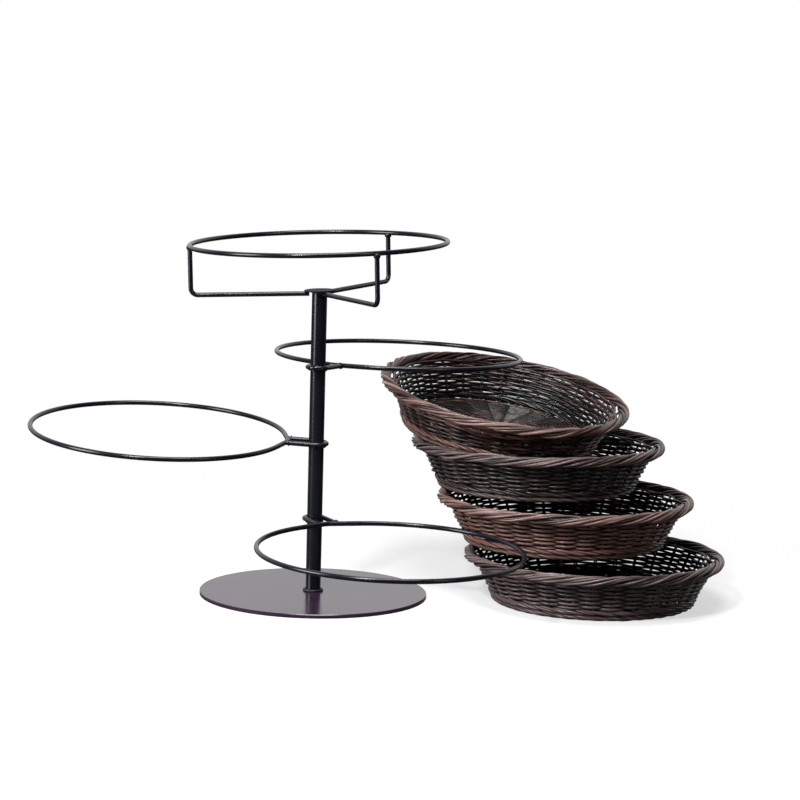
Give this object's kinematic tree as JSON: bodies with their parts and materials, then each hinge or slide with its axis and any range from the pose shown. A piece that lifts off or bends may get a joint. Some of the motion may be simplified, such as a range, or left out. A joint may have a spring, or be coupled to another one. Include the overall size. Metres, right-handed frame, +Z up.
{
  "type": "basket display stand",
  "caption": "Countertop display stand with a round foot plate, rings on arms round a post and a raised top ring, with round willow baskets stacked beside it",
  "frame": {"origin": "middle of the foot plate's underside, on the surface that the stand is on", "axes": "+Z up along the post, -Y towards the front, +X to the right seen from the front, where the baskets are stacked"},
  "size_m": [0.9246, 0.7077, 0.476],
  "materials": {
    "frame": "black powder coat, half gloss",
    "rods": "round willow rods, stained dark brown",
    "weave": "woven willow, stained black-brown"
  },
  "bodies": {
    "stand": {"base_plate": "frame", "foot_weld": "frame", "post": "frame", "hub_plate": "frame", "hub_weld": "frame", "top_leg_left": "frame", "top_leg_front": "frame", "top_leg_back": "frame", "top_ring": "frame", "top_ring_welds": "frame", "tier_ring_low": "frame", "tier_arm_low": "frame", "tier_welds_low": "frame", "tier_ring_middle": "frame", "tier_arm_middle": "frame", "tier_welds_middle": "frame", "tier_ring_high": "frame", "tier_arm_high": "frame", "tier_welds_high": "frame"},
    "basket_1": {"basket_1_floor": "weave", "basket_1_sticks": "rods", "basket_1_foot_wale": "rods", "basket_1_wall": "weave", "basket_1_stakes": "rods", "basket_1_border": "rods"},
    "basket_2": {"basket_2_floor": "weave", "basket_2_sticks": "rods", "basket_2_foot_wale": "rods", "basket_2_wall": "weave", "basket_2_stakes": "rods", "basket_2_border": "rods"},
    "basket_3": {"basket_3_floor": "weave", "basket_3_sticks": "rods", "basket_3_foot_wale": "rods", "basket_3_wall": "weave", "basket_3_stakes": "rods", "basket_3_border": "rods"},
    "basket_4": {"basket_4_floor": "weave", "basket_4_sticks": "rods", "basket_4_foot_wale": "rods", "basket_4_wall": "weave", "basket_4_stakes": "rods", "basket_4_border": "rods"}
  },
  "joints": [
    {"name": "basket_1_draw", "type": "slide", "parent": "stand", "child": "basket_1", "axis": [0.7071, -0.7071, 0.0087], "range_m": [0, 0.42]},
    {"name": "basket_2_draw", "type": "slide", "parent": "basket_1", "child": "basket_2", "axis": [0.7071, -0.7071, 0.0087], "range_m": [0, 0.42]},
    {"name": "basket_3_draw", "type": "slide", "parent": "basket_2", "child": "basket_3", "axis": [0.7071, -0.7071, 0.0087], "range_m": [0, 0.42]},
    {"name": "basket_4_swing", "type": "hinge", "parent": "basket_3", "child": "basket_4", "pos_m": [0.2192, 0.2036, 0.8028], "axis": [-0.7513, -0.66, 0], "range_deg": [0, 58]}
  ]
}
